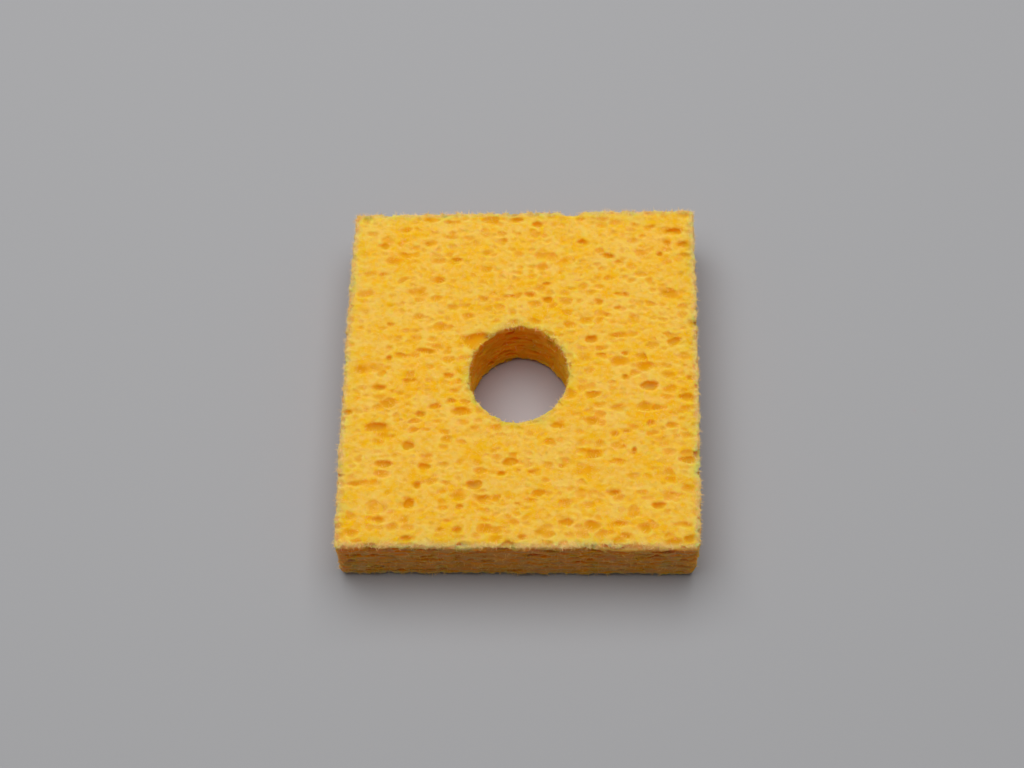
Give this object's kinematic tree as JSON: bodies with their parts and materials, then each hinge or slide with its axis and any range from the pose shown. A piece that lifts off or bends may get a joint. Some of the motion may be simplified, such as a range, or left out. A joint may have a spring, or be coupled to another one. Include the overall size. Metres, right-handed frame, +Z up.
{
  "type": "soldering tip cleaning sponge",
  "caption": "Flat rectangular cellulose sponge with a round hole through it, for wiping a soldering iron's tip.",
  "frame": {"origin": "middle of the foot print, on the face that the sponge lies on", "axes": "+Z up through the thickness, +Y along the longer side, +X along the shorter side"},
  "size_m": [0.0642, 0.0704, 0.0127],
  "materials": {
    "cellulose_foam": "dry open-pored cellulose foam, yellow"
  },
  "bodies": {
    "root": {"cleaning_sponge": "cellulose_foam"}
  },
  "joints": []
}
